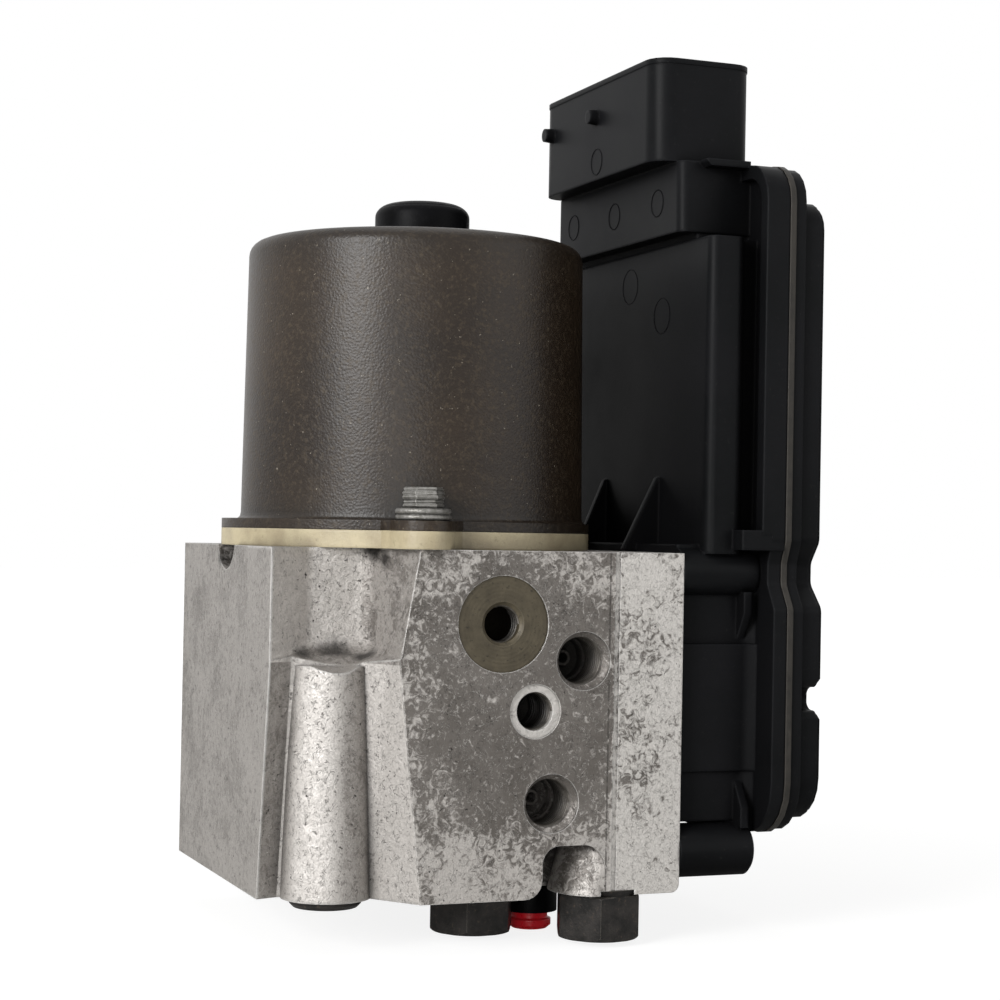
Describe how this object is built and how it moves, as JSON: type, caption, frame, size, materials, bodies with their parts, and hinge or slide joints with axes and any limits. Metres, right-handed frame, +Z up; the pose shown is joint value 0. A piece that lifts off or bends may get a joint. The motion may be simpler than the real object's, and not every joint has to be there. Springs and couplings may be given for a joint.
{
  "type": "abs brake module",
  "caption": "Anti-lock brake module: cast valve block with threaded ports, upright pump motor and plastic controller with a connector shell.",
  "frame": {"origin": "mouth of the bracket thread in the port face, on its spot face", "axes": "-Y out of the bracket thread and the port face, +Z up along the motor, +X from the block towards the controller"},
  "size_m": [0.1291, 0.1032, 0.2058],
  "materials": {
    "cast_aluminium": "sand cast, weathered",
    "plug_steel": "turned, oxidised olive brown",
    "bare_steel": "ground",
    "spring_steel": "drawn wire",
    "black_steel": "black oxide, worn at the edges",
    "black_rubber": "matt",
    "red_plastic": "moulded",
    "cream_plastic": "moulded, aged",
    "bronze_paint": "orange peel over drawn steel",
    "zinc_steel": "dull zinc plate",
    "ferrite": "sintered",
    "carbon": "pressed",
    "core_steel": "stacked laminations",
    "copper": "enamelled wire and turned bars",
    "bearing_steel": "polished",
    "valve_steel": "turned",
    "laminate": "solder mask",
    "black_plastic": "glass filled, satin",
    "grey_silicone": "cured bead",
    "terminal_alloy": "tinned"
  },
  "bodies": {
    "unit": {"hydraulic_block": "cast_aluminium", "pump_plugs": "plug_steel", "pump_sleeves": "bare_steel", "front_pump_spring": "spring_steel", "rear_pump_spring": "spring_steel", "hex_plugs": "black_steel", "front_accumulator_spring": "spring_steel", "rear_accumulator_spring": "spring_steel", "damper_plug": "black_steel", "vent_collar": "black_rubber", "vent_plug": "red_plastic", "motor_end_plate": "cream_plastic", "motor_can": "bronze_paint", "motor_cap": "black_rubber", "motor_bolts": "zinc_steel", "motor_washers": "zinc_steel", "field_magnets": "ferrite", "lower_bearing": "bearing_steel", "upper_bearing": "bearing_steel", "carbon_brushes": "carbon", "front_inlet_valve": "valve_steel", "front_outlet_valve": "valve_steel", "rear_inlet_valve": "valve_steel", "rear_outlet_valve": "valve_steel", "solenoid_coils": "copper", "controller_housing": "black_plastic", "connector_pins": "terminal_alloy", "circuit_board": "laminate", "cover_gasket": "grey_silicone", "controller_cover": "black_plastic", "controller_screws": "zinc_steel"},
    "rotor": {"armature_core": "core_steel", "armature_windings": "copper", "commutator": "copper", "motor_shaft": "bare_steel", "eccentric_ring": "bearing_steel"},
    "front_piston": {"front_pump_piston": "bare_steel"},
    "rear_piston": {"rear_pump_piston": "bare_steel"},
    "front_accumulator": {"front_accumulator_piston": "bare_steel"},
    "rear_accumulator": {"rear_accumulator_piston": "bare_steel"},
    "front_inlet": {"front_inlet_armature": "bare_steel"},
    "front_outlet": {"front_outlet_armature": "bare_steel"},
    "rear_inlet": {"rear_inlet_armature": "bare_steel"},
    "rear_outlet": {"rear_outlet_armature": "bare_steel"}
  },
  "joints": [
    {"name": "motor_spin", "type": "hinge", "parent": "unit", "child": "rotor", "pos_m": [-0.0128, 0.049, 0.0357], "axis": [0, 0, 1], "continuous": true},
    {"name": "front_piston_slide", "type": "slide", "parent": "unit", "child": "front_piston", "axis": [0, 1, 0], "range_m": [0, 0.001]},
    {"name": "rear_piston_slide", "type": "slide", "parent": "unit", "child": "rear_piston", "axis": [0, -1, 0], "range_m": [0, 0.001]},
    {"name": "front_accumulator_slide", "type": "slide", "parent": "unit", "child": "front_accumulator", "axis": [0, 0, -1], "range_m": [0, 0.007], "stiffness_N_per_m": 800, "springref_m": -0.001, "deforming": ["front_accumulator_spring"]},
    {"name": "rear_accumulator_slide", "type": "slide", "parent": "unit", "child": "rear_accumulator", "axis": [0, 0, -1], "range_m": [0, 0.007], "stiffness_N_per_m": 800, "springref_m": -0.001, "deforming": ["rear_accumulator_spring"]},
    {"name": "front_inlet_lift", "type": "slide", "parent": "unit", "child": "front_inlet", "axis": [-1, 0, 0], "range_m": [0, 0.0003], "stiffness_N_per_m": 1000, "springref_m": -0.0005},
    {"name": "front_outlet_lift", "type": "slide", "parent": "unit", "child": "front_outlet", "axis": [1, 0, 0], "range_m": [0, 0.0003], "stiffness_N_per_m": 1000, "springref_m": -0.0005},
    {"name": "rear_inlet_lift", "type": "slide", "parent": "unit", "child": "rear_inlet", "axis": [-1, 0, 0], "range_m": [0, 0.0003], "stiffness_N_per_m": 1000, "springref_m": -0.0005},
    {"name": "rear_outlet_lift", "type": "slide", "parent": "unit", "child": "rear_outlet", "axis": [1, 0, 0], "range_m": [0, 0.0003], "stiffness_N_per_m": 1000, "springref_m": -0.0005}
  ]
}
